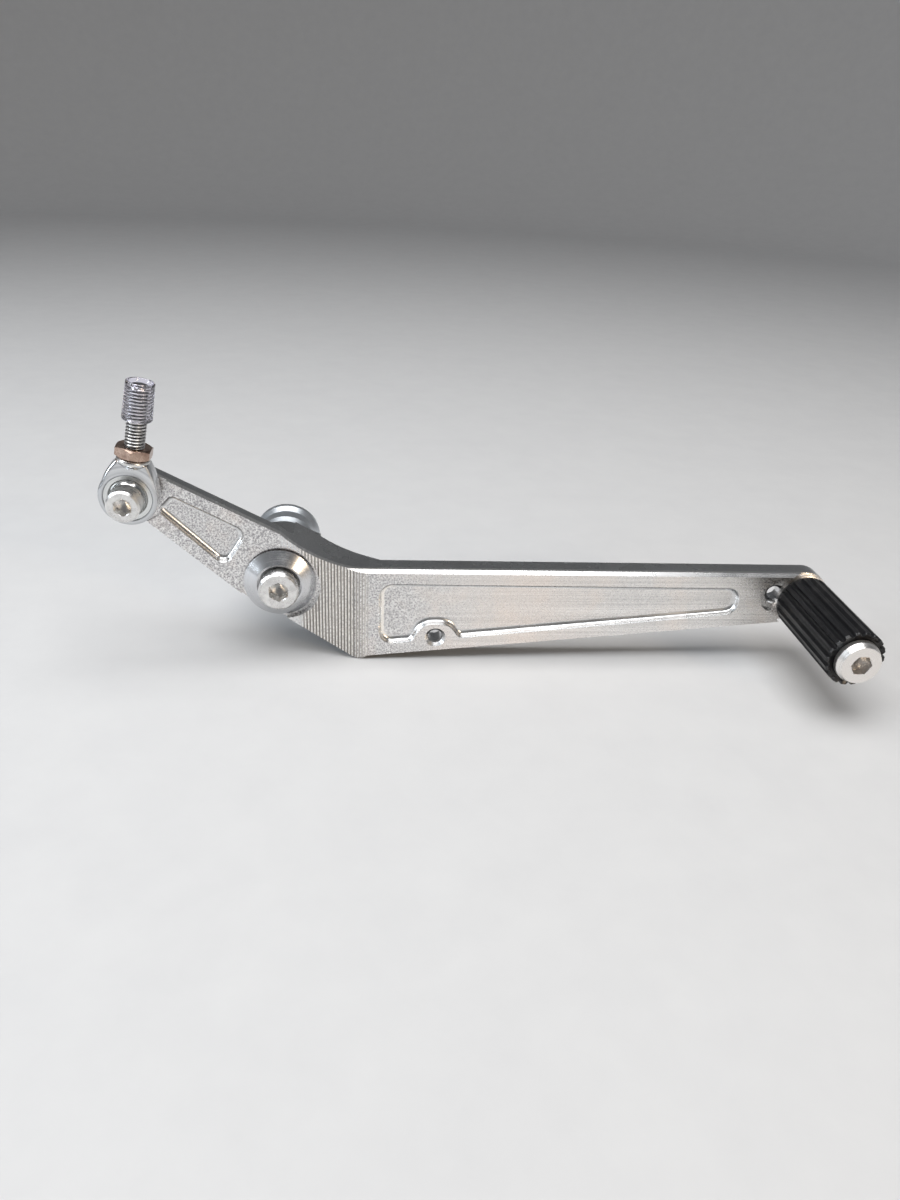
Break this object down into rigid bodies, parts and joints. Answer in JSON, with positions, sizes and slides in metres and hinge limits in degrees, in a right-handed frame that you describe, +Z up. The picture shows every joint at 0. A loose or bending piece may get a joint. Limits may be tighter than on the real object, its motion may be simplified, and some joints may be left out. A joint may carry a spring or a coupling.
{
  "type": "motorcycle gear shift lever",
  "caption": "Billet gear-shift lever for a motorcycle rearset, with a ball-bearing pivot and stepped spacer, a swivelling rod end for the shift rod and a ribbed rubber toe peg",
  "frame": {"origin": "on the pivot axis, in the mounting face of the rear spacer", "axes": "+Y points inboard along the pivot axis, the way the screw enters the machine; +X runs along the long arm towards the toe peg; +Z is up, with the long arm level"},
  "size_m": [0.2406, 0.1032, 0.0933],
  "materials": {
    "machined_aluminium": "satin, milled",
    "turned_aluminium": "polished, turned",
    "zinc_steel": "bright zinc plate",
    "bearing_steel": "ground and polished",
    "cage_brass": "plain",
    "yellow_zinc_steel": "coppery plate",
    "clear_plastic": "clear, glossy",
    "black_rubber": "satin"
  },
  "bodies": {
    "pivot": {"pivot_screw": "zinc_steel", "front_collar": "turned_aluminium", "front_bearing_inner_ring": "bearing_steel", "rear_bearing_inner_ring": "bearing_steel", "bearing_spacer": "turned_aluminium", "rear_spacer": "turned_aluminium"},
    "lever": {"lever_arm": "machined_aluminium", "front_bearing_outer_ring": "bearing_steel", "rear_bearing_outer_ring": "bearing_steel", "front_bearing_balls": "bearing_steel", "rear_bearing_balls": "bearing_steel", "front_bearing_cage": "cage_brass", "rear_bearing_cage": "cage_brass", "front_bearing_shields": "bearing_steel", "rear_bearing_shields": "bearing_steel", "rod_end_screw": "zinc_steel", "rod_end_ball": "bearing_steel", "rod_end_lock_nut": "zinc_steel", "peg_core": "turned_aluminium", "peg_rubber": "black_rubber"},
    "rod_end": {"rod_end_housing": "zinc_steel", "rod_end_race": "bearing_steel"},
    "jam_nut": {"jam_nut": "yellow_zinc_steel"},
    "thread_sleeve": {"thread_sleeve": "clear_plastic"}
  },
  "joints": [
    {"name": "lever_pivot", "type": "hinge", "parent": "pivot", "child": "lever", "pos_m": [0, -0.0306, 0], "axis": [0, 1, 0], "range_deg": [-15, 15]},
    {"name": "rod_end_swivel", "type": "hinge", "parent": "lever", "child": "rod_end", "pos_m": [-0.0435, -0.0439, 0.0318], "axis": [0, 1, 0], "range_deg": [-90, 35]},
    {"name": "jam_nut_run", "type": "slide", "parent": "rod_end", "child": "jam_nut", "axis": [0.1959, 0, 0.9806], "range_m": [0, 0.004]},
    {"name": "sleeve_pull", "type": "slide", "parent": "rod_end", "child": "thread_sleeve", "axis": [0.1959, 0, 0.9806], "range_m": [-0.004, 0.016]}
  ]
}
